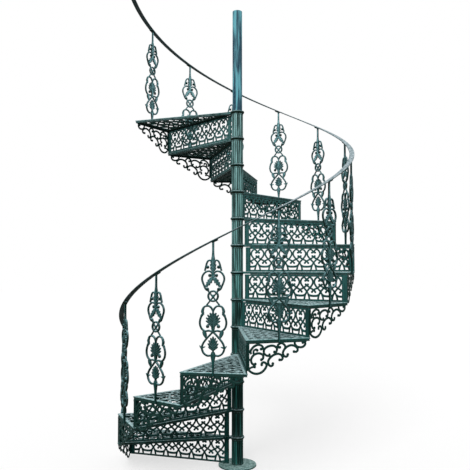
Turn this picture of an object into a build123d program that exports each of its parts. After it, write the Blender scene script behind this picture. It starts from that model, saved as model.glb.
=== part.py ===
"""Cast-iron spiral staircase: a tube newel with fluted sleeves, thirteen pierced treads and risers,
scrolled side brackets, flat cast balusters and a helical flat-bar handrail.

Frame: millimetres, +Z up, origin on the floor at the newel's axis. The flight climbs counter-clockwise
seen from above, and the first riser stands at first_angle from +X.
"""

import os
from math import atan, atan2, cos, degrees, hypot, pi, radians, sin

from build123d import *

# Flight
step_count = 13
rise = 210.0
step_angle = 27.44
first_angle = 163.5

# Base plate and newel tube
base_diameter = 290.0
base_thickness = 12.0
newel_diameter = 76.1
newel_wall = 5.0
newel_free_height = 802.0
newel_clearance = 0.3

# Fluted sleeves on the newel, and the hubs of the treads between them
flute_count = 10
sleeve_radius = 45.0
flute_depth = 3.5
hub_radius = 54.0

# Treads: a deep border round a thin panel with rows of pointed openings
tread_radius = 904.5
tread_depth = 22.0
tread_border = 25.0
tread_panel = 8.0
tread_hole_length = 150.0
tread_hole_width = 48.0
tread_hole_pitch = 210.0
tread_hole_rows = 2
tread_first_hole = 470.0

# Risers: openings of a hexagon row over a diamond row, half a repeat apart
nosing = 3.0
riser_thickness = 8.0
riser_back_rim = 3.0
riser_inner = 65.0
riser_end_gap = 2.0
riser_inner_strip = 28.0
riser_outer_strip = 22.0
riser_rail = 10.0
fret_repeats = 7
fret_bar = 9.0
fret_hexagon_height = 82.0
fret_hexagon_flat = 42.0

# Side brackets: depth under the tread at shares of the span from the riser to the tread's rear corner
bracket_thickness = 8.0
bracket_clearance = 0.3
bracket_bar = 10.0
bracket_edge = [(0.0, 0.92), (0.1, 1.0), (0.22, 0.92), (0.42, 0.6), (0.74, 0.3), (1.0, 0.0)]
bracket_openings = [(0.14, 34.0), (0.4, 32.0), (0.64, 20.0)]
bracket_opening_sides = 6

# Balusters: one flat casting, its loops stacked from the foot up. Half outlines run from a loop's foot
# to its top, each point as shares of the half width and of the height
baluster_thickness = 14.0
baluster_foot = 20.0
foot_width = 16.0
stem_width = 14.0
loop_bar = 9.0
loop_lap = 10.0
low_stem = 101.0
lower_heart_width = 150.0
lower_heart_height = 155.0
lower_heart_edge = [(0.0, 0.0), (0.8, 0.1), (1.0, 0.38), (0.0, 1.0)]
middle_heart_width = 174.0
middle_heart_height = 168.0
middle_heart_edge = [(0.0, 0.0), (1.0, 0.42), (0.74, 0.86), (0.36, 1.0), (0.0, 0.9)]
leaf_width = 62.0
leaf_height = 105.0
ring_radius = 39.0
ring_sides = 6
ring_gap = 32.0
lyre_width = 150.0
lyre_height = 137.0
lyre_edge = [(0.0, 0.0), (1.0, 0.62), (0.72, 1.0), (0.0, 0.9)]
crest_width = 84.0
crest_height = 95.0
top_stem = 106.4

# Handrail: a flat bar along a helix, in three lengths
rail_width = 38.0
rail_thickness = 9.0
rail_clearance = 0.3
rail_start_overrun = 2.0
rail_end_overrun = 25.5
rail_lengths = ["lower", "middle", "upper"]

# Plan of one tread in its own frame: x runs out along the leading edge, y the way the flight climbs
rear_lap = nosing + riser_thickness + riser_back_rim
rear_way = Vector(1, 0, 0).rotate(Axis.Z, step_angle)
rear_side = Vector(0, 1, 0).rotate(Axis.Z, step_angle)
lead_corner = Vector(tread_radius, 0, 0)
rear_corner = rear_way * tread_radius + rear_side * rear_lap
chord_way = (rear_corner - lead_corner).normalized()
chord_out = chord_way.cross(Vector(0, 0, 1))
chord_middle = (lead_corner + rear_corner) * 0.5
chord_length = (rear_corner - lead_corner).length
bore_corner_radius = (newel_diameter / 2 + newel_clearance) / cos(pi / flute_count)
panel_height = rise - tread_depth

# Heights of the baluster's ornaments above the tread, each standing on the one below
middle_foot = low_stem + lower_heart_height - loop_lap
middle_top = middle_foot + middle_heart_height
ring_foot = middle_top + ring_gap
lyre_foot = ring_foot + 2 * ring_radius - loop_lap
crest_foot = lyre_foot + lyre_height * lyre_edge[-1][1] - loop_bar
crest_top = crest_foot + crest_height
baluster_top = crest_top + top_stem

# The handrail's centre line passes rail_height above each tread at its baluster
baluster_angle = degrees(atan2(chord_middle.Y, chord_middle.X))
rail_radius = hypot(chord_middle.X, chord_middle.Y) + baluster_thickness / 2
rail_slope = rise / (radians(step_angle) * rail_radius)
rail_height = baluster_top + rail_clearance + rail_thickness / 2 / cos(atan(rail_slope))


def tread_plane(step):
    """The plane of a tread's top, x along its leading edge. Step 0 is the top of the base plate."""
    angle = radians(first_angle + step_angle * (step - 1))
    origin = (0, 0, base_thickness + rise * step)
    return Plane(origin=origin, x_dir=(cos(angle), sin(angle), 0), z_dir=(0, 0, 1))


def upright_plane(step, foot, way, out):
    """A vertical plane on a tread: origin at foot, x along way, normal along out, in the tread's frame."""
    frame = tread_plane(step)
    origin = frame.from_local_coords(foot)
    x_dir = frame.from_local_coords(way) - frame.origin
    z_dir = frame.from_local_coords(out) - frame.origin
    return Plane(origin=origin, x_dir=x_dir, z_dir=z_dir)


def fluted_outline():
    """The star outline of a sleeve: ridges and grooves in turn round the axis."""
    radii = [sleeve_radius, sleeve_radius - flute_depth] * flute_count
    angles = [pi * corner / flute_count for corner in range(2 * flute_count)]
    return [(radius * cos(angle), radius * sin(angle)) for radius, angle in zip(radii, angles)]


def loop_outline(foot, height, width, edge):
    """A symmetric outline standing on foot, from the shares of its right half."""
    right = [(width / 2 * across, foot + height * up) for across, up in edge]
    return right + [(-x, y) for x, y in right[-2:0:-1]]


def ring_outline(foot):
    """The outline of the ring, with a corner at its foot."""
    angles = [2 * pi * corner / ring_sides for corner in range(ring_sides)]
    return [(ring_radius * sin(angle), foot + ring_radius * (1 - cos(angle))) for angle in angles]


def bar_loop(outline):
    """Adds a closed bar to the sketch: the outline, less the same outline moved in by the bar's width."""
    with BuildSketch(mode=Mode.PRIVATE) as inside:
        Polygon(*outline, align=None)
        offset(amount=-loop_bar, kind=Kind.INTERSECTION, mode=Mode.REPLACE)
    Polygon(*outline, align=None)
    add(inside.sketch, mode=Mode.SUBTRACT)


def leaf(foot, height, width):
    """Adds a pointed leaf to the sketch, widest at its middle."""
    middle = foot + height / 2
    Polygon((0, foot), (width / 2, middle), (0, foot + height), (-width / 2, middle), align=None)


def stem(foot, top, foot_size, top_size, slope=0.0):
    """Adds a straight stem to the sketch, with a top edge that may slope."""
    low, high = foot_size / 2, top_size / 2
    Polygon((-low, foot), (low, foot), (high, top + slope * high), (-high, top - slope * high), align=None)


def make_tread(step):
    """A wedge casting with a pierced panel and a hub round the newel."""
    top = tread_plane(step)
    wedge = [(0, 0), (lead_corner.X, 0), (rear_corner.X, rear_corner.Y)]
    wedge.append((rear_side.X * rear_lap, rear_side.Y * rear_lap))
    along, across = tread_hole_length / 2, tread_hole_width / 2
    with BuildPart() as tread:
        with BuildSketch(top):
            Polygon(*wedge, align=None)
            RegularPolygon(hub_radius, flute_count)
            RegularPolygon(bore_corner_radius, flute_count, mode=Mode.SUBTRACT)
        extrude(amount=-tread_depth)
        with BuildSketch(top.offset(-tread_depth)):
            Polygon(*wedge, align=None)
            offset(amount=-tread_border, kind=Kind.INTERSECTION, mode=Mode.REPLACE)
        extrude(amount=tread_depth - tread_panel, mode=Mode.SUBTRACT)
        with BuildSketch(top):
            for row in range(tread_hole_rows):
                for hole in range(row + 1):
                    angle = step_angle * (hole + 1) / (row + 2)
                    with PolarLocations(tread_first_hole + row * tread_hole_pitch, 1, start_angle=angle):
                        Polygon((along, 0), (0, across), (-along, 0), (0, -across), align=None)
        extrude(amount=-tread_depth, mode=Mode.SUBTRACT)
    return tread.part


def make_riser(step):
    """A pierced panel under a tread's leading edge, standing on the rear border of the tread below."""
    length = tread_radius - riser_end_gap - riser_inner
    fret_start = riser_inner + riser_inner_strip
    pitch = (length - riser_inner_strip - riser_outer_strip) / fret_repeats
    corner = (pitch - fret_bar) / 2
    flat = fret_hexagon_flat / 2
    half = fret_hexagon_height / 2
    slope = half / (corner - flat)
    hexagon_level = panel_height - riser_rail - half
    bar_drop = fret_bar * hypot(1, slope) - slope * fret_bar / 2
    diamond_half = (hexagon_level - bar_drop - riser_rail) / 2
    diamond_reach = diamond_half / slope
    with BuildPart() as riser:
        with BuildSketch(upright_plane(step, (0, nosing, -rise), (1, 0, 0), (0, -1, 0))):
            with Locations((riser_inner, 0)):
                Rectangle(length, panel_height, align=(Align.MIN, Align.MIN))
            with Locations(*[(fret_start + pitch * (k + 0.5), hexagon_level) for k in range(fret_repeats)]):
                Polygon(
                    (corner, 0), (flat, half), (-flat, half), (-corner, 0), (-flat, -half), (flat, -half),
                    align=None, mode=Mode.SUBTRACT,
                )
            diamond_level = riser_rail + diamond_half
            with Locations(*[(fret_start + pitch * k, diamond_level) for k in range(1, fret_repeats)]):
                Polygon(
                    (diamond_reach, 0), (0, diamond_half), (-diamond_reach, 0), (0, -diamond_half),
                    align=None, mode=Mode.SUBTRACT,
                )
        extrude(amount=-riser_thickness)
    return riser.part


def make_baluster(step):
    """A flat casting on the tread's outer edge: two hearts, a ring and a lyre between two stems."""
    lobe = middle_heart_width / 2 * middle_heart_edge[-2][0]
    ring = ring_outline(ring_foot)
    shoulder_x, shoulder_y = ring[1]
    half_bar = loop_bar / 2
    with BuildPart() as baluster:
        with BuildSketch(upright_plane(step, tuple(chord_middle), tuple(chord_way), tuple(chord_out))):
            bar_loop(loop_outline(low_stem, lower_heart_height, lower_heart_width, lower_heart_edge))
            leaf(low_stem + half_bar, leaf_height, leaf_width)
            bar_loop(loop_outline(middle_foot, middle_heart_height, middle_heart_width, middle_heart_edge))
            leaf(middle_foot + half_bar, leaf_height, leaf_width)
            bar_loop(ring)
            for side in (-1, 1):
                Polygon(
                    (side * (lobe - half_bar), middle_top - loop_bar),
                    (side * (lobe + half_bar), middle_top - loop_bar),
                    (side * (shoulder_x + half_bar), shoulder_y + half_bar),
                    (side * (shoulder_x - half_bar), shoulder_y + half_bar),
                    align=None,
                )
            bar_loop(loop_outline(lyre_foot, lyre_height, lyre_width, lyre_edge))
            leaf(crest_foot, crest_height, crest_width)
            stem(-baluster_foot, low_stem + half_bar, foot_width, stem_width)
            stem(crest_top - 2 * stem_width, baluster_top, stem_width, stem_width, rail_slope)
        extrude(amount=baluster_thickness)
    return baluster.part


def save(part, name):
    """Labels a finished piece and writes its file."""
    part.label = name
    export_step(part, f"parts/{name}.step")


os.makedirs("parts", exist_ok=True)

with BuildPart() as base_plate:
    with BuildSketch():
        Circle(base_diameter / 2)
    extrude(amount=base_thickness)
save(base_plate.part, "base_plate")

with BuildPart() as newel_tube:
    with BuildSketch(Plane.XY.offset(base_thickness)):
        Circle(newel_diameter / 2)
        Circle(newel_diameter / 2 - newel_wall, mode=Mode.SUBTRACT)
    extrude(amount=rise * step_count + newel_free_height)
save(newel_tube.part, "newel_tube")

with BuildPart() as column_sleeves:
    for step in range(step_count):
        with BuildSketch(tread_plane(step)):
            Polygon(*fluted_outline(), align=None)
            RegularPolygon(bore_corner_radius, flute_count, mode=Mode.SUBTRACT)
        extrude(amount=panel_height)
save(column_sleeves.part, "column_sleeves")

# A bracket starts clear of the riser's back, which crosses the bracket's thickness at a slant
riser_back = nosing + riser_thickness + bracket_clearance
bracket_start = (riser_back + bracket_thickness * chord_out.Y) / chord_way.Y
bracket_span = chord_length - bracket_start
with BuildPart() as side_brackets:
    for step in range(1, step_count + 1):
        corner = (lead_corner.X, lead_corner.Y, -tread_depth)
        with BuildSketch(upright_plane(step, corner, tuple(chord_way), tuple(chord_out))):
            edge = [
                (bracket_start + bracket_span * along, -panel_height * down)
                for along, down in bracket_edge
            ]
            Polygon((bracket_start, 0), *edge, align=None)
            for along, radius in bracket_openings:
                with Locations((bracket_start + bracket_span * along, -bracket_bar - radius)):
                    RegularPolygon(radius, bracket_opening_sides, mode=Mode.SUBTRACT)
        extrude(amount=-bracket_thickness)
save(side_brackets.part, "side_brackets")

for step in range(1, step_count + 1):
    save(make_tread(step), f"tread_{step:02d}")
    save(make_riser(step), f"riser_{step:02d}")
    save(make_baluster(step), f"baluster_{step:02d}")

rail_pitch = rise * 360 / step_angle
first_baluster = first_angle + baluster_angle
rail_turn = step_angle * (step_count - 1) + rail_start_overrun + rail_end_overrun
length_turn = rail_turn / len(rail_lengths)
length_height = rail_pitch * length_turn / 360
for number, name in enumerate(rail_lengths):
    turn = number * length_turn - rail_start_overrun
    foot = (0, 0, base_thickness + rise + rail_height + rail_pitch * turn / 360)
    outwards = (cos(radians(first_baluster + turn)), sin(radians(first_baluster + turn)), 0)
    with BuildPart() as handrail:
        with BuildLine() as centre_line:
            helix = Helix(rail_pitch, length_height, rail_radius, center=foot, mode=Mode.PRIVATE)
            add(helix.rotate(Axis.Z, first_baluster + turn))
        with BuildSketch(Plane(origin=centre_line.line @ 0, x_dir=outwards, z_dir=centre_line.line % 0)):
            Rectangle(rail_width, rail_thickness)
        sweep(path=centre_line.line, is_frenet=True)
    save(handrail.part, f"handrail_{name}")
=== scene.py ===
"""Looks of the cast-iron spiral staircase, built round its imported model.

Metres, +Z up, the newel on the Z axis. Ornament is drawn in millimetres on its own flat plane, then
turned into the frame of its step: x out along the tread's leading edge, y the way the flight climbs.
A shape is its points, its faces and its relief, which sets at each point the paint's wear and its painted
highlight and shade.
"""

import bpy
import numpy as np
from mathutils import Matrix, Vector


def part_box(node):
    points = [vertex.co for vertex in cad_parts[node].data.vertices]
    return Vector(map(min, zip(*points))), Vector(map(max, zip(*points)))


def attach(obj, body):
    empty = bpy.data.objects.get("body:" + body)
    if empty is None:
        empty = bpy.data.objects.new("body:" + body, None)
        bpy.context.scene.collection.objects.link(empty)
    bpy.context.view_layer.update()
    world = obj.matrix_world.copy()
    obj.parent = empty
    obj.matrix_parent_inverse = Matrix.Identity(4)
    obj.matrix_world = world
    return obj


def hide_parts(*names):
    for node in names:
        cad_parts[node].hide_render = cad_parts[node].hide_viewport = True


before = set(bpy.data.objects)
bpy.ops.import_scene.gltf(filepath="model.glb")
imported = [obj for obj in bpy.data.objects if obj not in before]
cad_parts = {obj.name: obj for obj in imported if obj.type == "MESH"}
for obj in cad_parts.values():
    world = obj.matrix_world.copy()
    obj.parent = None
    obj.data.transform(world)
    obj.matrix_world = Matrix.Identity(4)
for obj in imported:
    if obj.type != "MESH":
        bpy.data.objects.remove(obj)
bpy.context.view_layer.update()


# Base plate: a plain round plate of cast iron under the newel, laid on the floor and painted with the
# rest. Its rim is worn round, and its top is a chalky grey, part scuffs from feet and part painted highlight.
mm = 0.001
base_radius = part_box("base_plate")[1].x
base_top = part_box("base_plate")[1].z
base_sides = 96
base_inner = 30 * mm
base_round = 3 * mm
round_middle = 0.3 * base_round
# Relief of plain faces: middling wear, painted highlight and painted shade.
plain_wear_and_shading = 0.6
sharp_edge = np.radians(50)
bump_strength = 0.35
bump_depth = 0.8 * mm
paint_shine = 0.05


def grid_faces(rows, columns, copies=1, ring=False):
    """Quads over grids of rows by columns points whose columns close on themselves.

    The first and last rows are filled with strips of quads. With ring, the last row joins the first.
    """
    row = np.arange(rows if ring else rows - 1)[:, None]
    column = np.arange(columns)[None, :]
    beside = (column + 1) % columns
    near = row * columns
    far = (row + 1) % rows * columns
    corners = [near + column, near + beside, far + beside, far + column]
    faces = np.stack(np.broadcast_arrays(*corners), axis=2).reshape(-1, 4)
    if not ring:
        step = np.arange(columns // 2 - 1)
        cap = np.stack([step, step + 1, columns - 2 - step, columns - 1 - step], axis=1)
        faces = np.concatenate([faces, cap[:, ::-1], cap + (rows - 1) * columns])
    starts = np.arange(copies) * rows * columns
    return (faces[None] + starts[:, None, None]).reshape(-1, 4)


def turned_surface(radius, height, sides, ring=True, relief=plain_wear_and_shading):
    """A surface round the Z axis: x = r cos a, y = r sin a, z = h, the radius given by row or by point."""
    turn = np.arange(sides) * 2 * np.pi / sides
    points = np.stack(np.broadcast_arrays(radius * np.cos(turn), radius * np.sin(turn), height), axis=2)
    relief = np.broadcast_to(relief, points.shape[:2])
    return points.reshape(-1, 3), grid_faces(len(points), sides, ring=ring), relief.ravel()


def lathe(profile, sides, ring=True, relief=plain_wear_and_shading):
    """A profile of (radius, height) turned about the Z axis."""
    radius, height = np.array(profile, float).T[:, :, None]
    return turned_surface(radius, height, sides, ring, relief)


def joined(shapes):
    """Several shapes as one: each one's faces count on from the points of those before it."""
    points, faces, relief = zip(*shapes)
    starts = np.cumsum([0] + [len(part) for part in points[:-1]])
    faces = [part + start for part, start in zip(faces, starts)]
    return np.concatenate(points), np.concatenate(faces), np.concatenate(relief)


def weathered_paint():
    """Old oil paint on cast iron, as a colour, a roughness and a height for the bump.

    Dirt adds up from stains. Hollows, the sides of bars and faces turned down darken with dirt and painted
    shade, and parts near the floor darken as painted shade, more the lower they are. Rust shows in patches
    on faces turned down. Pale paint lies on faces turned up and on crests, part chalk and part painted
    highlight, and on crests there is more of it higher up, as painted light. Relief is 1 on a crest, 0 in a
    hollow and below 0 where the paint is kept dark as painted shade, with less pale paint on top and none at
    -1.
    """
    drip_stretch = (54, 54, 3.6)
    patch_share = 0.55
    speck_share = 0.45
    # Darkening in hollows and on the sides of bars: dirt and painted shade.
    hollow_dirt_and_shade = 0.85
    # Darkening of faces turned down: painted shade and dirt.
    underside_shade_and_dirt = 0.12
    # Darkening near the floor: painted shade, darker the lower it is.
    low_shade_fall = 0.7
    low_shade_share = 0.22
    rust_colour = (0.075, 0.072, 0.036, 1.0)
    rust_share = 0.45
    # Crests grow paler higher up: painted light.
    height_light_rate = 0.32
    height_light_start = 0.28
    height_light_gain = 1.45
    # Least pale paint on faces turned up and on crests: chalk and painted highlight.
    least_top_pale_and_highlight = 0.25
    least_crest_pale_and_highlight = 0.1
    least_roughness = 0.5
    roughness_range = 0.25
    grain_height = 0.4
    speck_height = 0.6

    group = bpy.data.node_groups.new("weathered_paint", "ShaderNodeTree")
    # The pale colour is both chalky paint and painted highlight.
    colours = ["Paint", "Chalk and Highlight", "Grime"]
    shares = ["Top Chalk and Highlight", "Crest Chalk and Highlight", "Grime Share", "Drips"]
    sockets = [(name, "INPUT", "NodeSocketColor") for name in colours]
    sockets += [(name, "INPUT", "NodeSocketFloat") for name in shares]
    sockets += [("Color", "OUTPUT", "NodeSocketColor")]
    sockets += [(name, "OUTPUT", "NodeSocketFloat") for name in ("Roughness", "Height")]
    for name, side, kind in sockets:
        group.interface.new_socket(name, in_out=side, socket_type=kind)
    source = group.nodes.new("NodeGroupInput").outputs
    result = group.nodes.new("NodeGroupOutput").inputs
    place = group.nodes.new("ShaderNodeTexCoord").outputs["Object"]

    def feed(socket, value):
        """Links an input to another node's output, or sets it to a number or colour."""
        if isinstance(value, bpy.types.NodeSocket):
            group.links.new(value, socket)
        else:
            socket.default_value = value

    def math(operation, first, second):
        """One sum of two sockets or numbers, held between 0 and 1."""
        node = group.nodes.new("ShaderNodeMath")
        node.operation = operation
        node.use_clamp = True
        feed(node.inputs[0], first)
        feed(node.inputs[1], second)
        return node.outputs[0]

    def product(first, *others):
        """Sockets and numbers multiplied together."""
        for other in others:
            first = math("MULTIPLY", first, other)
        return first

    def total(first, *others):
        """Sockets and numbers added up."""
        for other in others:
            first = math("ADD", first, other)
        return first

    def rest_of(share):
        """What a share leaves of 1."""
        return math("SUBTRACT", 1.0, share)

    def between(share, first, second):
        """A value on the way from the first to the second: first (1 - share) + second share."""
        return total(product(first, rest_of(share)), product(second, share))

    def noise(coordinate, scale, detail, soft):
        """Cloudy noise from 0 to 1, spread so that its patches have edges this soft."""
        node = group.nodes.new("ShaderNodeTexNoise")
        node.inputs["Scale"].default_value = scale
        node.inputs["Detail"].default_value = detail
        group.links.new(coordinate, node.inputs["Vector"])
        spread = group.nodes.new("ShaderNodeMapRange")
        spread.inputs["From Min"].default_value = 0.5 - soft
        spread.inputs["From Max"].default_value = 0.5 + soft
        group.links.new(node.outputs["Fac"], spread.inputs["Value"])
        return spread.outputs["Result"]

    def upward(vector):
        """The Z part of a vector."""
        parts = group.nodes.new("ShaderNodeSeparateXYZ")
        group.links.new(vector, parts.inputs["Vector"])
        return parts.outputs["Z"]

    def mixed(share, first, second):
        """The first colour, with a share of the second over it. Inputs 6 and 7 and output 2 are colours."""
        node = group.nodes.new("ShaderNodeMix")
        node.data_type = "RGBA"
        feed(node.inputs["Factor"], share)
        feed(node.inputs[6], first)
        feed(node.inputs[7], second)
        return node.outputs[2]

    stretched = group.nodes.new("ShaderNodeMapping")
    stretched.inputs["Scale"].default_value = drip_stretch
    group.links.new(place, stretched.inputs["Vector"])
    patches = noise(place, scale=9, detail=5, soft=0.18)
    specks = noise(place, scale=62, detail=4, soft=0.13)
    grain = noise(place, scale=330, detail=2, soft=0.18)
    drips = noise(stretched.outputs["Vector"], scale=1, detail=4, soft=0.10)
    facing = upward(group.nodes.new("ShaderNodeNewGeometry").outputs["Normal"])
    level = upward(place)
    # The relief attribute sets the paint's wear, a painted highlight on crests and painted shade in hollows
    # and on the sides of bars.
    attribute = group.nodes.new("ShaderNodeAttribute")
    attribute.attribute_name = "relief"
    wear_and_shading = attribute.outputs["Fac"]

    blotch = total(product(patches, patch_share), product(specks, speck_share))
    stained = product(between(source["Drips"], blotch, drips), source["Grime Share"])
    # Hollows and the sides of bars darken with dirt and painted shade.
    hollow = product(rest_of(wear_and_shading), hollow_dirt_and_shade)
    # Faces turned down: they darken with painted shade and dirt, and rust in patches.
    under = product(facing, -1.0)
    # Painted shade near the floor, darker towards the bottom.
    low_shade = product(rest_of(product(level, low_shade_fall)), low_shade_share)
    dirt = total(stained, hollow, product(under, underside_shade_and_dirt), low_shade)
    rusted = product(under, patches, rust_share)
    coloured = mixed(rusted, mixed(dirt, source["Paint"], source["Grime"]), rust_colour)

    # Pale paint on faces turned up: chalk and a painted highlight, less of it where relief is below 0.
    speckled = total(product(specks, 1 - least_top_pale_and_highlight), least_top_pale_and_highlight)
    top = product(facing, source["Top Chalk and Highlight"], speckled, total(wear_and_shading, 1.0))
    # Pale paint on crests, part wear and part painted highlight, paler higher up as painted light.
    height_light = product(math("SUBTRACT", product(level, height_light_rate), height_light_start), height_light_gain)
    rubbed = between(source["Drips"], specks, rest_of(drips))
    scuffed = total(product(rubbed, 1 - least_crest_pale_and_highlight), least_crest_pale_and_highlight)
    crest = product(wear_and_shading, source["Crest Chalk and Highlight"], height_light, scuffed)
    pale_paint_and_highlight = mixed(math("MAXIMUM", top, crest), coloured, source["Chalk and Highlight"])

    group.links.new(pale_paint_and_highlight, result["Color"])
    group.links.new(total(product(blotch, roughness_range), least_roughness), result["Roughness"])
    group.links.new(total(product(grain, grain_height), product(specks, speck_height)), result["Height"])
    return group


paint_coat = weathered_paint()


def iron_paint(name, paint, chalk_and_highlight, grime, top, relief, grime_share, drips):
    """A painted cast-iron finish: the shared coat with this piece's colours and shares. Its pale colour,
    laid on by the top and relief shares on faces turned up and on crests, is part chalk and part painted
    highlight.
    """
    material = bpy.data.materials.new(name)
    material.use_nodes = True
    nodes = material.node_tree.nodes
    links = material.node_tree.links
    coat = nodes.new("ShaderNodeGroup")
    coat.node_tree = paint_coat
    colours = {"Paint": paint, "Chalk and Highlight": chalk_and_highlight, "Grime": grime}
    shares = {"Top Chalk and Highlight": top, "Crest Chalk and Highlight": relief, "Grime Share": grime_share, "Drips": drips}
    for socket, colour in colours.items():
        coat.inputs[socket].default_value = (*colour, 1.0)
    for socket, share in shares.items():
        coat.inputs[socket].default_value = share
    bump = nodes.new("ShaderNodeBump")
    bump.inputs["Strength"].default_value = bump_strength
    bump.inputs["Distance"].default_value = bump_depth
    shader = nodes["Principled BSDF"]
    shader.inputs["Specular IOR Level"].default_value = paint_shine
    links.new(coat.outputs["Color"], shader.inputs["Base Color"])
    links.new(coat.outputs["Roughness"], shader.inputs["Roughness"])
    links.new(coat.outputs["Height"], bump.inputs["Height"])
    links.new(bump.outputs["Normal"], shader.inputs["Normal"])
    return material


def set_in_place(name, shape, material, node):
    """Makes a shape a piece of the staircase, in place of its plain solid."""
    points, faces, relief = shape
    mesh = bpy.data.meshes.new(name)
    mesh.vertices.add(len(points))
    mesh.vertices.foreach_set("co", points.astype(np.float32).ravel())
    mesh.loops.add(faces.size)
    mesh.loops.foreach_set("vertex_index", faces.astype(np.int32).ravel())
    mesh.polygons.add(len(faces))
    mesh.polygons.foreach_set("loop_start", np.arange(0, faces.size, faces.shape[1], dtype=np.int32))
    mesh.update(calc_edges=True)
    mesh.attributes.new("relief", "FLOAT", "POINT").data.foreach_set("value", relief.astype(np.float32))
    mesh.polygons.foreach_set("use_smooth", np.ones(len(faces), bool))
    mesh.set_sharp_from_angle(angle=sharp_edge)
    mesh.materials.append(material)
    piece = bpy.data.objects.new(name, mesh)
    bpy.context.scene.collection.objects.link(piece)
    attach(piece, "root")
    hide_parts(node)


deep_green = (0.003, 0.020, 0.016)
plate_paint = iron_paint(
    "scuffed_and_highlit_plate_paint", paint=(0.04, 0.23, 0.19), chalk_and_highlight=(0.42, 0.63, 0.61), grime=deep_green,
    top=1.0, relief=0.0, grime_share=0.35, drips=0.0,
)
plate_profile = [
    (base_inner, 0.0), (base_radius - base_round / 2, 0.0), (base_radius, base_round / 2),
    (base_radius, base_top - base_round), (base_radius - round_middle, base_top - round_middle),
    (base_radius - base_round, base_top), (base_inner, base_top),
]
plate = lathe(plate_profile, base_sides, ring=False)
set_in_place("round_base_plate", plate, plate_paint, "base_plate")


# Newel: a plain steel tube standing on the base plate and threaded through every hub and sleeve. Its
# free length above the top tread has brighter blue-green paint with long dark runs.
newel_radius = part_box("newel_tube")[1].x
newel_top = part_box("newel_tube")[1].z
newel_wall = 5 * mm
newel_inner = newel_radius - newel_wall
newel_edge = 1.2 * mm
newel_sides = 64

tube_paint = iron_paint(
    "streaked_tube_paint", paint=(0.075, 0.48, 0.58), chalk_and_highlight=(0.42, 0.74, 0.79), grime=(0.004, 0.036, 0.070),
    top=0.3, relief=0.45, grime_share=1.0, drips=0.95,
)
tube_profile = [
    (newel_inner, base_top), (newel_radius, base_top), (newel_radius, newel_top - newel_edge),
    (newel_radius - newel_edge, newel_top), (newel_inner, newel_top),
]
set_in_place("newel_tube_paint", lathe(tube_profile, newel_sides), tube_paint, "newel_tube")


# Column sleeves: reeded cast-iron collars slipped over the newel, one under the hub of each tread,
# with a plain bead at each end. Grey-green paint, with dirt and painted shade in the grooves and pale
# paint on the reeds' crests, part wear and part painted highlight.
step_count = sum(node.startswith("tread_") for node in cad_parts)
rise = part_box("tread_02")[1].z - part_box("tread_01")[1].z
tread_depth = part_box("tread_01")[1].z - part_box("tread_01")[0].z
sleeve_length = rise - tread_depth
sleeve_radius = 45 * mm
sleeve_bore = newel_radius + 0.3 * mm
sleeve_sides = 128
reed_count = 16
reed_groove = 4.5 * mm
reed_roundness = 0.7
# Power of the reeds' relief: pale paint and painted highlight on their crests, dirt and painted shade in the
# grooves.
reed_wear_and_shading = 1.6
bead_height = 9 * mm
bead_swell = 4 * mm
bead_levels = np.array([0, 0, 0.15, 0.45, 0.85, 1.0, 1.35]) * bead_height
bead_outline = np.array([-1, -0.25, 0.1, 0.25, 0.1, -0.2, 0]) * bead_swell
# Relief of the beads: middling pale paint with painted highlight, and middling dirt with painted shade.
bead_wear_and_shading = 0.45
plain_end = 1.2 * bead_height


def reeded_sleeve(foot):
    """A turned sleeve with reeds between two plain beads.

    At angle a the radius of n reeds dips by groove (1 - |sin(n a / 2)| to the power 0.7). The relief of a
    reed is its height over the groove to the power 1.6, so that only its crest gets pale paint, part wear
    and part painted highlight, and the groove gets dirt and painted shade.
    """
    height = np.concatenate([bead_levels, sleeve_length - bead_levels[::-1]])[:, None]
    radius = sleeve_radius + np.concatenate([bead_outline, bead_outline[::-1]])[:, None]
    radius[[0, -1]] = sleeve_bore
    turn = np.arange(sleeve_sides) * 2 * np.pi / sleeve_sides
    dip = 1 - np.abs(np.sin(reed_count * turn / 2)) ** reed_roundness
    plain = np.minimum(height, sleeve_length - height) < plain_end
    radius = radius - np.where(plain, 0.0, reed_groove * dip)
    relief = np.where(plain, bead_wear_and_shading, (1 - dip) ** reed_wear_and_shading)
    return turned_surface(radius, foot + height, sleeve_sides, relief=relief)


sleeve_paint = iron_paint(
    "reeded_sleeve_paint", paint=(0.046, 0.262, 0.233), chalk_and_highlight=(0.48, 0.78, 0.78), grime=deep_green,
    top=0.35, relief=1.0, grime_share=0.95, drips=0.9,
)
sleeves = [reeded_sleeve(base_top + rise * step) for step in range(step_count)]
set_in_place("reeded_sleeves", joined(sleeves), sleeve_paint, "column_sleeves")


# Treads: wedge castings with a hub round the newel, a deep moulded rim and a panel of close scrollwork.
# The top of the rim and scrolls is a chalky grey-green, part wear from feet and part painted highlight,
# over hollows darkened with dirt and painted shade. Each hub sits on the sleeve below it, its underside,
# lower face and top face painted near-black as shade, with a painted highlight in a band near its top.
steps = range(1, step_count + 1)
first_angle = np.radians(163.5)
step_angle = np.radians(27.44)
tread_radius = 904.5
tread_drop = tread_depth / mm
rear_lap = 14.0
bar_squareness = 0.6

hub_sides = 48
hub_bore = 38.4
hub_neck = 45.5
hub_shoulder = 47.0
hub_edge = 52.0
hub_radius = 54.0
hub_profile = [
    (hub_bore, -22), (hub_neck, -22), (hub_neck, -20), (hub_shoulder, -18.5), (hub_edge, -15.5),
    (hub_radius, -11), (hub_radius, -6), (hub_edge, -1.6), (hub_shoulder, 0), (hub_bore, 0),
]
# Relief along the hub's profile: painted shade on its underside, lower face and top face, and a painted
# highlight in a band below its upper edge.
hub_wear_and_shading = [-1, -1, -1, -1, -1, -0.6, 0.7, 0.2, -0.6, -0.6]

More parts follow.
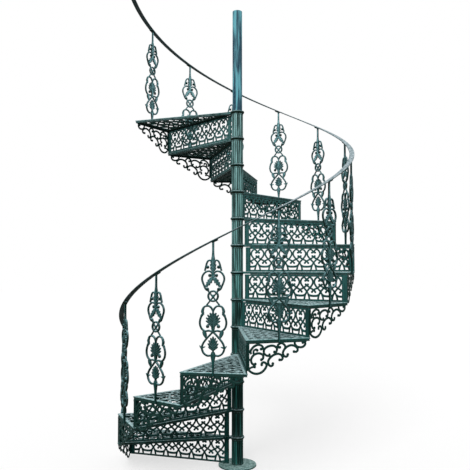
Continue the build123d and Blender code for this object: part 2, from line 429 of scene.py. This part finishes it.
rim_start = 112.0
rim_border = 25.0
rim_profile = [
    (3, -22), (3, -17), (4.2, -12.5), (3.4, -10), (0.8, -8), (0, -5), (1.0, -1.5), (4, 0), (8, 0),
    (9.5, -1.6), (11, 0), (22, 0), (rim_border, -2.5), (rim_border, -9), (9, -10), (9, -22),
]
# Relief on the rim: a painted highlight on its crown, painted shade growing down its outer face, and dirt and
# painted shade inside.
rim_crown = -1.0
rim_face = 5.0
rim_fade = 26.0
rim_hollow = 0.1

web_start = 40.0
web_end = rim_start + 4
web_inset = 2.0
web_top = -0.6
web_foot = -18.0

scroll_pitch = 66.0
scroll_curl = 3.8
scroll_lean = 0.5
scroll_bar = 15.0
scroll_depth = 12.0
scroll_sink = 1.0
scroll_sides = 6
scroll_points = 21
wave_bar = 13.0
wave_sway = 9.0
wave_points = 33
# Relief on the scrolls' undersides, which sets how far dirt and painted shade darken them.
under_wear_and_shading = 0.5

rear_way = np.array([np.cos(step_angle), np.sin(step_angle)])
rear_side = np.array([-np.sin(step_angle), np.cos(step_angle)])
lead_corner = np.array([tread_radius, 0.0])
rear_corner = rear_way * tread_radius + rear_side * rear_lap
chord_way = (rear_corner - lead_corner) / np.linalg.norm(rear_corner - lead_corner)
chord_out = np.array([chord_way[1], -chord_way[0]])


def squared_off(wave, power):
    """A sine or cosine pushed out towards a square wave: its size to a power below 1, its sign kept."""
    return np.sign(wave) * np.abs(wave) ** power


def bars(paths, widths, depths, sides=8, front=1.0, back=1.0):
    """Closed bars along flat lines, a rounded section at each point of the line.

    Across the line the section is width/2 times cos to the power 0.6, and out of its plane depth/2
    times sin to the same power, so it is squarer than an ellipse. Relief is 0 on the sides and as given
    on the front and the back, so the sides take dirt and painted shade and the crests pale paint with a
    painted highlight.
    """
    paths = np.asarray(paths, float)
    count, rows = paths.shape[:2]
    along = np.gradient(paths, axis=1)
    along /= np.linalg.norm(along, axis=2, keepdims=True)
    left = np.stack([-along[..., 1], along[..., 0]], axis=2)[:, :, None, :]
    turn = (np.arange(sides) + 0.5) * 2 * np.pi / sides
    across = squared_off(np.cos(turn), bar_squareness)
    out = squared_off(np.sin(turn), bar_squareness)
    widths = np.broadcast_to(widths, (count, rows))[:, :, None]
    depths = np.broadcast_to(depths, (count, rows))[:, :, None]
    flat = paths[:, :, None, :] + left * (widths * across / 2)[..., None]
    points = np.concatenate([flat, (depths * out / 2)[..., None]], axis=3)
    crest = (np.abs(out) - np.abs(out).min()) / np.ptp(np.abs(out)) * np.where(out > 0, front, back)
    relief = np.broadcast_to(crest, (count, rows, sides))
    return points.reshape(-1, 3), grid_faces(rows, sides, count), relief.ravel()


def at_step(shape, step):
    """A shape in millimetres in a tread's frame, turned and raised to that step, in metres."""
    points, faces, relief = shape
    turn = first_angle + step_angle * (step - 1)
    x, y, z = points.T * mm
    top = base_top + rise * step
    moved = [x * np.cos(turn) - y * np.sin(turn), x * np.sin(turn) + y * np.cos(turn), z + top]
    return np.stack(moved, axis=1), faces, relief


def mitred_rim(corners, profile):
    """A profile of (inset, height) carried round a flat outline, mitred at each corner.

    A corner moved in by d lies at corner + d (a - b) / sin(t), where a leads to the next corner, b comes
    from the one before and t is the turn between them. Relief is 1 on the crown, less down the outer face
    and near 0 inside, which gives a painted highlight on the crown, painted shade growing down the outer
    face, and dirt and painted shade inside.
    """
    ahead = np.roll(corners, -1, axis=0) - corners
    ahead /= np.linalg.norm(ahead, axis=1, keepdims=True)
    behind = np.roll(ahead, 1, axis=0)
    turn = behind[:, 0] * ahead[:, 1] - behind[:, 1] * ahead[:, 0]
    mitre = (ahead - behind) / turn[:, None]
    inset, height = np.array(profile, float).T
    flat = corners[:, None, :] + inset[None, :, None] * mitre[:, None, :]
    points = np.concatenate([flat, np.broadcast_to(height[None, :, None], flat[..., :1].shape)], axis=2)
    below = np.where(inset < rim_face, 1 + height / rim_fade, rim_hollow)
    relief = np.broadcast_to(np.where(height > rim_crown, 1.0, below), flat.shape[:2])
    return points.reshape(-1, 3), grid_faces(len(corners), len(profile), ring=True), relief.ravel()


def tread_scrolls():
    """Rows of S-scrolls between waving bars, all along the outer edge's direction.

    An S-scroll's heading turns as the square of the way along it, so that both ends curl up, and every
    other one is mirrored. A waving bar sways as a sine, one wave to each pair of scrolls.
    """
    outermost = lead_corner @ chord_out - rim_border
    rows = int((outermost - rim_start) / scroll_pitch)

    def ends(level):
        """Where a row at this distance from the newel starts and ends, at the rims beside it."""
        start = (rim_border - level * chord_out[1]) / chord_way[1]
        return start, (rear_lap - rim_border - level * (chord_out @ rear_side)) / (chord_way @ rear_side)

    level = outermost - scroll_pitch * (np.arange(rows) + 0.5)
    start, end = ends(level)
    cells = np.maximum(1, np.round((end - start) / scroll_pitch)).astype(int)
    row = np.repeat(np.arange(rows), cells)
    cell = np.concatenate([np.arange(n) for n in cells])
    along = start[row] + (end - start)[row] * (cell + 0.5) / cells[row]
    centre = along[:, None] * chord_way + level[row][:, None] * chord_out
    heading = scroll_curl * np.linspace(-1, 1, scroll_points) ** 2 + scroll_lean
    scroll = np.cumsum(np.stack([np.cos(heading), np.sin(heading)], axis=1), axis=0)
    scroll = scroll - scroll[scroll_points // 2]
    scroll = scroll * scroll_pitch / 2 / np.abs(scroll).max()
    hand = np.where((row + cell) % 2, 1.0, -1.0)[:, None, None]
    lines = centre[:, None, :] + hand * scroll[None, :, :1] * chord_way + scroll[None, :, 1:] * chord_out

    level = outermost - scroll_pitch * np.arange(1, rows + 1)[:, None]
    start, end = ends(level)
    way = np.linspace(0, 1, wave_points)[None, :]
    sway = level + wave_sway * np.sin(np.pi * cells[:, None] * way)
    waves = (start + (end - start) * way)[..., None] * chord_way + sway[..., None] * chord_out
    return joined([
        bars(lines, scroll_bar, scroll_depth, scroll_sides, back=under_wear_and_shading),
        bars(waves, wave_bar, scroll_depth, scroll_sides, back=under_wear_and_shading),
    ])


# The pale paint on top of the treads is part wear from feet and part painted highlight.
tread_paint = iron_paint(
    "trodden_and_highlit_tread_paint", paint=(0.042, 0.226, 0.215), chalk_and_highlight=(0.56, 0.77, 0.80), grime=deep_green,
    top=1.0, relief=0.55, grime_share=0.7, drips=0.2,
)
rim_rear = rear_way * rim_start + rear_side * rear_lap
rim_corners = np.array([(rim_start, 0), lead_corner, rear_corner, rim_rear])
web_rear = rear_side * (rear_lap - web_inset)
web_front = [(web_start, web_inset), (web_end, web_inset)]
web_corners = np.array([*web_front, rear_way * web_end + web_rear, rear_way * web_start + web_rear])
web = np.concatenate([np.insert(web_corners, 2, height, axis=1) for height in (web_top, web_foot)])
web_faces = np.array([(0, 1, 2, 3), (7, 6, 5, 4), (0, 4, 5, 1), (1, 5, 6, 2), (2, 6, 7, 3), (3, 7, 4, 0)])
scrolls, scroll_faces, scroll_relief = tread_scrolls()
tread = joined([
    mitred_rim(rim_corners, rim_profile),
    lathe(hub_profile, hub_sides, relief=np.array(hub_wear_and_shading)[:, None]),
    (web, web_faces, np.full(len(web), plain_wear_and_shading)),
    (scrolls - (0, 0, scroll_sink + scroll_depth / 2), scroll_faces, scroll_relief),
])
for step in steps:
    shape = at_step(tread, step)
    set_in_place(f"tread_casting_{step:02d}", shape, tread_paint, f"tread_{step:02d}")


# Risers: pierced panels cast in one, standing on the rear rim of the tread below and carrying the
# leading rim of the next. Seven repeats of C-scroll rounds over crossing bars, hooks and sagging bars.
riser_front = 3.0
riser_thickness = 8.0
riser_middle = riser_front + riser_thickness / 2
riser_start = 65.0
riser_end = 902.5
riser_height = (rise - tread_depth) / mm
inner_strip = 38.0
outer_strip = 42.0
strip_sides = 16
rail_bar = 13.5
fret_bar = 14.0
sag_bar = 17.0
fret_depth = riser_thickness - 1
knot_radius = 8.5
knot_depth = fret_depth + 0.4
boss_points = 7
boss_end = 0.04
fret_repeats = 7
fret_height = riser_height - 2 * rail_bar
fret_pitch = (riser_end - outer_strip - riser_start - inner_strip) / fret_repeats
half_pitch = fret_pitch / 2


def curve(points, count):
    """A smooth line through a few points: cubics whose slope at a point follows the points beside it."""
    points = np.array(points, float)
    slope = np.gradient(points, axis=0)
    place = np.linspace(0, len(points) - 1, count)
    low = np.minimum(place.astype(int), len(points) - 2)
    f = (place - low)[:, None]
    start = (2 * f ** 3 - 3 * f ** 2 + 1) * points[low] + (f ** 3 - 2 * f ** 2 + f) * slope[low]
    return start + (3 * f ** 2 - 2 * f ** 3) * points[low + 1] + (f ** 3 - f ** 2) * slope[low + 1]


def both_hands(lines):
    """Lines, and the same lines mirrored in x = 0."""
    lines = np.array(lines)
    return np.concatenate([lines, lines * (-1, 1)])


def bosses(centres, radius, depth, wear_and_shading=1.0):
    """Flattened balls on a plane: bars whose width and depth swell as the sine of the way along."""
    way = np.linspace(boss_end, 1 - boss_end, boss_points) * np.pi
    line = np.array(centres, float)[:, None, :] + np.stack([-radius * np.cos(way), 0 * way], axis=1)
    return bars(line, 2 * radius * np.sin(way), depth * np.sin(way), front=wear_and_shading, back=wear_and_shading)


def straight(lines, count=2):
    """Straight lines, each between two points, as points evenly along them."""
    ends = np.array(lines, float)
    return ends[:, :1] + (ends[:, 1:] - ends[:, :1]) * np.linspace(0, 1, count)[None, :, None]


def repeated(lines):
    """Lines drawn down from the top rail about a round's centre, and their mirror images, at every repeat."""
    centres = riser_start + inner_strip + fret_pitch * (np.arange(fret_repeats) + 0.5)
    lines = both_hands(lines) * (1, -1) + (0, riser_height - rail_bar)
    moved = lines[None] + np.stack([centres, 0 * centres], axis=1)[:, None, None, :]
    return moved.reshape(-1, *lines.shape[1:])


round_strand = [
    (12, 30), (4, 26), (6, 17), (14, 8), (25, 4.5), (39, 13), (48.5, 33), (46, 50), (37, 65), (24, 80),
    (0, 107), (-14, 134), (-21, fret_height + 3),
]
hooked_bar = [
    (-10, 55), (0, 62), (24, 79), (40, 87), (half_pitch, 95), (half_pitch + 11, 106), (half_pitch + 14, 110),
]
sagging_bar = [(10, 127), (28, 136), (half_pitch, 138)]
end_hook = [(-half_pitch - 2, 94), (5 - half_pitch, 99), (11 - half_pitch, 106), (14 - half_pitch, 110)]
knots = [[(12, 29)], [(-9, 56)], [(half_pitch + 13, 109)]]
end_knot = [[(13 - half_pitch, 109)]]
# Each line of a repeat with the points along it and its width. The panel's ends finish on a hook and a knot.
fret_lines = [(round_strand, 43, fret_bar), (hooked_bar, 14, fret_bar), (sagging_bar, 7, sag_bar)]
panel_ends = [0, -1]
fretwork = [bars(repeated([curve(line, count)]), width, fret_depth) for line, count, width in fret_lines]
fretwork += [
    bars(repeated([curve(end_hook, 7)])[panel_ends], fret_bar, fret_depth),
    bosses(repeated(knots)[:, 0], knot_radius, knot_depth),
    bosses(repeated(end_knot)[panel_ends, 0], knot_radius, knot_depth),
]
inner_x = riser_start + inner_strip / 2
outer_x = riser_end - outer_strip / 2
rail_levels = [rail_bar / 2, riser_height - rail_bar / 2]
rails = [[(riser_start, level), (riser_end, level)] for level in rail_levels]
panel_frame = [
    bars(straight(rails), rail_bar, riser_thickness),
    bars(straight([[(inner_x, 0), (inner_x, riser_height)]]), inner_strip, riser_thickness, strip_sides),
    bars(straight([[(outer_x, 0), (outer_x, riser_height)]]), outer_strip, riser_thickness, strip_sides),
]
panel_paint = iron_paint(
    "dark_panel_paint", paint=(0.017, 0.117, 0.109), chalk_and_highlight=(0.22, 0.48, 0.48), grime=deep_green,
    top=0.8, relief=0.55, grime_share=0.95, drips=0.3,
)
flat, riser_faces, riser_relief = joined(fretwork + panel_frame)
riser_points = np.stack([flat[:, 0], riser_middle - flat[:, 2], flat[:, 1] - rise / mm], axis=1)
for step in steps:
    shape = at_step((riser_points, riser_faces, riser_relief), step)
    set_in_place(f"riser_fretwork_{step:02d}", shape, panel_paint, f"riser_{step:02d}")


# Side brackets: open scrolls under each tread's outer edge, cast with a leg against the riser and
# hanging in a chain of S-scrolls from the rear corner down to the foot of the leg.
bracket_bar = 15.0
bracket_depth = 8.0
bracket_stretch = 1.045
bracket_inset = 4.0
short_bar = 0.85 * bracket_bar
long_points = 34
short_points = 9
eye_radius = 9.5
eye_depth = bracket_depth + 1
leg_and_top = [[(19, 0), (19, -164)], [(15, 3), (416, 3)]]
long_scrolls = [
    [(38, -65), (34, -49), (43, -33), (59, -19), (82, -11), (106, -16), (116, -28), (112, -37), (103, -36)],
    [(159, -80), (140, -77), (124, -63), (124, -43), (140, -28), (165, -20), (190, -21), (208, -33),
     (211, -47), (204, -58), (193, -58)],
    [(215, -34), (217, -20), (227, -10), (242, -6), (256, -12), (267, -24), (268, -36)],
    [(286, -76), (281, -87), (267, -89), (255, -78), (252, -64), (260, -47), (276, -32), (297, -23),
     (317, -22), (337, -29), (352, -42), (353, -55), (342, -63), (327, -60)],
    [(333, -1), (336, -16), (347, -29), (369, -36), (390, -34), (404, -23), (407, -11), (399, -3), (390, -8)],
    [(106, -101), (116, -95), (119, -79), (109, -68), (88, -62), (64, -66), (47, -79), (38, -95),
     (39, -112), (50, -126), (66, -125)],
    [(183, -127), (182, -137), (168, -142), (156, -133), (151, -114), (160, -97), (179, -81), (200, -72),
     (220, -70), (240, -78), (250, -93), (244, -107), (228, -107)],
    [(108, -132), (109, -122), (122, -117), (136, -124), (141, -137), (131, -156), (111, -174), (86, -183),
     (61, -182), (41, -174), (23, -161)],
]
short_scrolls = [
    [(54, -64), (54, -48), (63, -40), (74, -38), (79, -43)],
    [(216, -31), (223, -33), (231, -31)],
    [(22, -154), (38, -145), (50, -142), (61, -143)],
    [(52, -141), (57, -137), (60, -130)],
    [(166, -88), (163, -78), (159, -66)],
    [(18, -45), (26, -47), (35, -49)],
    [(18, -96), (28, -98), (39, -100)],
]
scroll_eyes = [
    (104, -37), (78, -43), (194, -58), (231, -31), (285, -77), (328, -61), (390, -8), (106, -101),
    (65, -125), (183, -128), (229, -107), (108, -131), (61, -142),
]
flat, bracket_faces, bracket_relief = joined([
    bars([curve(line, long_points) for line in long_scrolls], bracket_bar, bracket_depth),
    bars([curve(line, short_points) for line in short_scrolls], short_bar, bracket_depth),
    bosses(scroll_eyes, eye_radius, eye_depth),
    bars(straight(leg_and_top), bracket_bar, bracket_depth),
])
edge = lead_corner + flat[:, :1] * chord_way + (flat[:, 2:] - bracket_inset) * chord_out
bracket_points = np.column_stack([edge, flat[:, 1] * bracket_stretch - tread_drop])
# The bracket paint is darker than the other castings' paint: painted shade under the treads.
bracket_paint = iron_paint(
    "shaded_bracket_paint", paint=(0.012, 0.048, 0.042), chalk_and_highlight=(0.10, 0.20, 0.19), grime=deep_green,
    top=0.5, relief=0.3, grime_share=0.6, drips=0.3,
)
brackets = [at_step((bracket_points, bracket_faces, bracket_relief), step) for step in steps]
set_in_place("side_bracket_scrolls", joined(brackets), bracket_paint, "side_brackets")


# Balusters: flat castings screwed to the middle of each tread's outer edge. From the foot up a leaf in a
# heart, a palmette in a second heart, a crossed ring, a lyre, and a leafy crest under the rail's stem.
baluster_bar = 13.0
baluster_depth = 17.0
baluster_centre = 7.0
baluster_foot = -20.0
baluster_head = 829.5
# Relief of the thin strands' faces: half the pale paint and painted highlight of a full crest, more dirt and
# painted shade.
strand_wear_and_shading = 0.5
ring_level = 482.0
ring_reach = 31.5
ring_turn = np.linspace(0, 2 * np.pi, 25)

heart_strand = [
    (12, 110), (36, 107), (60, 122), (72, 150), (67, 178), (50, 204), (27, 230), (2, 254), (-26, 264),
    (-52, 261), (-76, 279), (-86, 312), (-79, 348), (-64, 371), (-68, 398), (-54, 416), (-30, 420),
    (-12, 409), (0, 388),
]
lyre_strand = [
    (26, 517), (46, 524), (60, 552), (72, 586), (67, 614), (49, 634), (26, 640), (8, 630), (2, 612),
]
crest_strand = [(54, 642), (48, 665), (42, 688), (34, 704), (20, 709), (8, 700), (4, 690)]
palmette_hook = [(4, 282), (14, 298), (27, 304), (38, 297), (35, 289)]
crossing_struts = [[(42, 425), (-39, 523)]]
curls = [[(2, 612), (21, 612)], [(46, 675), (36, 667)]]
ring_line = np.stack([ring_reach * np.sin(ring_turn), ring_level - ring_reach * np.cos(ring_turn)], axis=1)
stems = [[(0, 280), (0, 394)], [(0, 590), (0, 722)], [(0, 126), (0, 210)]]
rail_lug = [[(-7, baluster_head - 7), (30, baluster_head + 10)]]
lug_width = 8.0
shoulder_leaf = [(61, 362), (69, 386), (59, 410)]
shoulder_width = 19 * np.sin(np.linspace(0.4, 2.7, 10))
palmette = [[(2, 308), (46, 326)], [(2, 318), (45, 346)], [(2, 330), (36, 364)], [(2, 342), (20, 377)]]
heart_leaf = [[(2, 148), (30, 164)], [(2, 159), (34, 184)], [(2, 172), (28, 204)], [(2, 186), (16, 219)]]
crest_leaf = [[(0, 642), (18, 664)], [(0, 660), (19, 684)], [(0, 678), (15, 702)]]
leaf_tips = [[(0, 338), (0, 382)], [(0, 186), (0, 228)]]
acanthus = [[(3, 602), (47, 540)]]
gussets = [[(60, 262), (43, 211)]]
spurs = [[(72, 150), (88, 171)], [(72, 156), (49, 163)], [(64, 374), (83, 356)]]
eyes = [(35, 291), (37, 526), (21, 613), (36, 666)]
buttons = [(0, 116), (0, ring_level), (0, 606)]

frond_points = 7
frond_sag = 9.0
frond_start = 0.7
frond_span = 1.9
frond_root = 1.05
frond_thinning = 0.5
frond_sides = 6
tooth_points = 7
tooth_root = 0.55
leaf_least = 2.0
leaf_thickness = 0.45
leaf_fullness = 0.02


def widths_along(widths, count):
    """A few set widths as a smooth run of them along a line."""
    return curve([(0, width) for width in widths], count)[:, 1]


def fronds(lines, width):
    """Lobes of a leaf: bars from its rib to their tips.

    At the share t of the way they swell as sin(0.7 + 1.9 t), sag by 9 t (1 - t) and thin as 1.05 - 0.5 t.
    """
    way = np.linspace(0, 1, frond_points)
    line = straight(lines, frond_points) + np.stack([0 * way, -frond_sag * way * (1 - way)], axis=1)
    swell = np.sin(frond_start + frond_span * way)
    return bars(line, width * swell, baluster_depth * (frond_root - frond_thinning * way), frond_sides)


def leaf(lines, widths, teeth):
    """Leaves along straight lines: bars that follow a few set widths, notched so that teeth point along them.

    A tooth grows evenly from 0.55 of the width to all of it. A wide place is thicker than a narrow one.
    """
    way = np.linspace(0, 1, tooth_points * teeth + 1)
    tooth = tooth_root + (1 - tooth_root) * (teeth * way % 1)
    width = widths_along(widths, len(way)) * tooth
    depth = baluster_depth * np.minimum(1, leaf_thickness + leaf_fullness * width)
    return bars(straight(lines, len(way)), np.maximum(width, leaf_least), depth)


# Thin strands with their shares of the bar's width and of the casting's depth.
strands = [
    (both_hands([curve(heart_strand, 54)]), 1.0, 0.85),
    (both_hands([curve(lyre_strand, 28)]), 0.95, 0.85),
    (both_hands([curve(crest_strand, 18)]), 0.9, 0.85),
    (both_hands([curve(palmette_hook, 12)]), 0.8, 0.85),
    (both_hands(straight(crossing_struts, 4)), 0.8, 0.7),
    (both_hands(straight(curls, 4)), 0.7, 0.8),
    ([ring_line], 1.0, 0.9),
]
# Upright bars, the foot, trunk and head and the plain backs of three leaves, with their widths, the points
# along them, their share of the depth and their relief, which sets their wear and painted highlight and
# shade; the leaves' plain backs get none, so they are dark with dirt and painted shade.
uprights = [
    ([(0, baluster_foot), (0, 130)], (14, 12, 12, 14, 19, 26, 34, 22), 22, 1.0, 1.0),
    ([(0, 250), (0, 330)], (8, 20, 26, 22, 14), 10, 1.0, 1.0),
    ([(0, 698), (0, baluster_head)], (20, 26, 18, 15, 14, 14, 14, 15), 16, 0.9, 1.0),
    ([(0, 296), (0, 374)], (26, 66, 74, 54, 18), 12, 0.5, 0.0),
    ([(0, 140), (0, 216)], (20, 50, 56, 40, 12), 12, 0.5, 0.0),
    ([(0, 644), (0, 706)], (14, 27, 28, 24, 12), 12, 0.5, 0.0),
]
casting = [
    bars(lines, baluster_bar * width, baluster_depth * depth, front=strand_wear_and_shading, back=strand_wear_and_shading)
    for lines, width, depth in strands
]
casting += [
    bars(straight([line], count), widths_along(widths, count), baluster_depth * depth, front=wear, back=wear)
    for line, widths, count, depth, wear in uprights
]
casting += [
    bars(straight(stems, 6), baluster_bar * 0.9, baluster_depth),
    bars(straight(rail_lug, 4), lug_width, baluster_depth * 1.5, front=0, back=0),
    bars(both_hands([curve(shoulder_leaf, len(shoulder_width))]), shoulder_width, baluster_depth * 0.9),
    fronds(both_hands(palmette), width=16.5),
    fronds(both_hands(heart_leaf), width=15),
    fronds(both_hands(crest_leaf), width=15),
    fronds(leaf_tips, width=17),
    leaf(both_hands(acanthus), widths=(18, 38, 40, 32, 15), teeth=4),
    leaf(both_hands(gussets), widths=(38, 38, 22, 5), teeth=1),
    leaf(both_hands(spurs), widths=(19, 16, 10, 3), teeth=1),
    # The eyes get no relief, so they are painted dark: painted shade in the scroll ends.
    bosses(both_hands(eyes), radius=11.5, depth=baluster_depth * 1.1, wear_and_shading=0.0),
    bosses(buttons, radius=11, depth=baluster_depth * 1.2),
]
flat, baluster_faces, baluster_relief = joined(casting)
middle = (lead_corner + rear_corner) / 2
edge = middle + flat[:, :1] * chord_way + (flat[:, 2:] + baluster_centre) * chord_out
baluster_points = np.column_stack([edge, flat[:, 1]])
baluster_paint = iron_paint(
    "leafy_baluster_paint", paint=(0.014, 0.093, 0.085), chalk_and_highlight=(0.38, 0.73, 0.79), grime=deep_green,
    top=0.8, relief=1.0, grime_share=0.95, drips=0.3,
)
for step in steps:
    shape = at_step((baluster_points, baluster_faces, baluster_relief), step)
    set_in_place(f"baluster_casting_{step:02d}", shape, baluster_paint, f"baluster_{step:02d}")


# Handrail: a flat steel bar bent to a helix over the balusters' heads, in three lengths. Its crowned top
# is a pale grey over near-black green paint, part wear from hands and part painted highlight, and its
# underside is darker with painted shade.
rail_width = 38.0
rail_thickness = 9.0
rail_height = 835.0
rail_start_overrun = np.radians(2.0)
rail_end_overrun = np.radians(25.5)
rail_lengths = ["lower", "middle", "upper"]
rail_rows = 72
rail_sides = 16
rail_flatness = 0.45
rail_crown = 0.5
# Relief of the rail's underside, under a top of 1: painted shade beneath and a painted highlight on top.
rail_wear_and_shading = 0.75
rail_radius = np.hypot(*middle) + baluster_centre
first_baluster = first_angle + np.arctan2(middle[1], middle[0])


def helical_bar(start, end):
    """A rounded flat section carried along a helix, wide along the radius and thick square to the run.

    Across it is width/2 times cos to the power 0.45, and up thickness/2 times sin to the power 0.5, signs
    kept. The level climbs one rise for each step's angle. Relief is 1 on the top and 0.5 underneath, a
    painted highlight on the top and painted shade beneath.
    """
    turn = np.linspace(start, end, rail_rows)[:, None, None]
    climb = rise / mm / step_angle
    slope = np.arctan2(climb, rail_radius)
    upright = np.array([0, 0, 1])
    outward = np.concatenate([np.cos(turn), np.sin(turn), 0 * turn], axis=2)
    sideways = np.concatenate([-np.sin(turn), np.cos(turn), 0 * turn], axis=2)
    over = upright * np.cos(slope) - sideways * np.sin(slope)
    round_angle = (np.arange(rail_sides) + 0.5) * -2 * np.pi / rail_sides
    across = squared_off(np.cos(round_angle), rail_flatness)[None, :, None]
    up = squared_off(np.sin(round_angle), rail_crown)[None, :, None]
    level = (base_top + rise) / mm + rail_height + climb * (turn - first_baluster)
    points = outward * (rail_radius + across * rail_width / 2) + over * up * rail_thickness / 2
    points = points + level * upright
    relief = np.broadcast_to(rail_wear_and_shading + (1 - rail_wear_and_shading) * up, points[..., :1].shape)
    return points.reshape(-1, 3) * mm, grid_faces(rail_rows, rail_sides), relief.ravel()


rail_paint = iron_paint(
    "handled_and_highlit_rail_paint", paint=(0.042, 0.118, 0.118), chalk_and_highlight=(0.62, 0.71, 0.77), grime=(0.010, 0.028, 0.027),
    top=0.9, relief=0.35, grime_share=0.5, drips=0.0,
)
rail_from = first_baluster - rail_start_overrun
rail_turn = (step_angle * (step_count - 1) + rail_start_overrun + rail_end_overrun) / len(rail_lengths)
for number, name in enumerate(rail_lengths):
    bar = helical_bar(rail_from + number * rail_turn, rail_from + (number + 1) * rail_turn)
    set_in_place(f"handrail_bar_{name}", bar, rail_paint, f"handrail_{name}")


# Studio: an overcast day cut out on white. The ground throws little light back up at the ironwork, but the
# camera and reflections see it and the sky as white, with the staircase's soft shadow.
floor_size = 60.0
ground_colour = 0.15
seen_floor_colour = 0.45
seen_floor_glow = 0.60
sky_strength = 0.5
seen_sky_strength = 1.0
white = (1, 1, 1, 1)
sun_strength = 2.0
sun_spread = np.radians(35)
sun_tilt = np.radians(50)
sun_heading = np.radians(-12)
camera_lens = 46.3
camera_sensor = 36.0
camera_place = (0.0, -4.715, 1.528)
camera_tilt = np.radians(92.89)
camera_heading = 0.0039
scene = bpy.context.scene


def seen_directly(tree):
    """1 for rays that come from the camera, a reflection or a see-through surface, and 0 for other rays."""
    path = tree.nodes.new("ShaderNodeLightPath")
    mask = path.outputs["Is Camera Ray"]
    for kind in ("Is Glossy Ray", "Is Transmission Ray"):
        either = tree.nodes.new("ShaderNodeMath")
        either.operation = "MAXIMUM"
        tree.links.new(mask, either.inputs[0])
        tree.links.new(path.outputs[kind], either.inputs[1])
        mask = either.outputs[0]
    return mask


def level_by_ray(tree, socket, plain, seen):
    """Gives a socket one level for light that falls on things and another for rays that see it directly."""
    level = tree.nodes.new("ShaderNodeMapRange")
    level.inputs["To Min"].default_value = plain
    level.inputs["To Max"].default_value = seen
    tree.links.new(seen_directly(tree), level.inputs["Value"])
    tree.links.new(level.outputs["Result"], socket)


floor_corners = np.array([(-1, -1, 0), (1, -1, 0), (1, 1, 0), (-1, 1, 0)]) * floor_size / 2
floor_mesh = bpy.data.meshes.new("studio_floor")
floor_mesh.from_pydata(floor_corners.tolist(), [], [(0, 1, 2, 3)])
floor = bpy.data.objects.new("studio_floor", floor_mesh)
scene.collection.objects.link(floor)
floor_paint = bpy.data.materials.new("white_ground")
floor_paint.use_nodes = True
floor_tree = floor_paint.node_tree
floor_shader = floor_tree.nodes["Principled BSDF"].inputs
floor_shader["Roughness"].default_value = 1.0
floor_shader["Specular IOR Level"].default_value = 0.0
floor_shader["Emission Color"].default_value = white
level_by_ray(floor_tree, floor_shader["Base Color"], ground_colour, seen_floor_colour)
level_by_ray(floor_tree, floor_shader["Emission Strength"], 0.0, seen_floor_glow)
floor_mesh.materials.append(floor_paint)

world = bpy.data.worlds.new("overcast_sky")
world.use_nodes = True
scene.world = world
sky = world.node_tree.nodes["Background"].inputs
sky["Color"].default_value = white
level_by_ray(world.node_tree, sky["Strength"], sky_strength, seen_sky_strength)

sun_light = bpy.data.lights.new("veiled_sun", "SUN")
sun_light.energy = sun_strength
sun_light.angle = sun_spread
sun = bpy.data.objects.new("veiled_sun", sun_light)
sun.rotation_euler = (sun_tilt, 0, sun_heading)
scene.collection.objects.link(sun)

camera_data = bpy.data.cameras.new("photo_camera")
camera_data.lens = camera_lens
camera_data.sensor_width = camera_sensor
camera = bpy.data.objects.new("photo_camera", camera_data)
camera.location = camera_place
camera.rotation_euler = (camera_tilt, 0, camera_heading)
scene.collection.objects.link(camera)
scene.camera = camera
scene.view_settings.view_transform = "Standard"
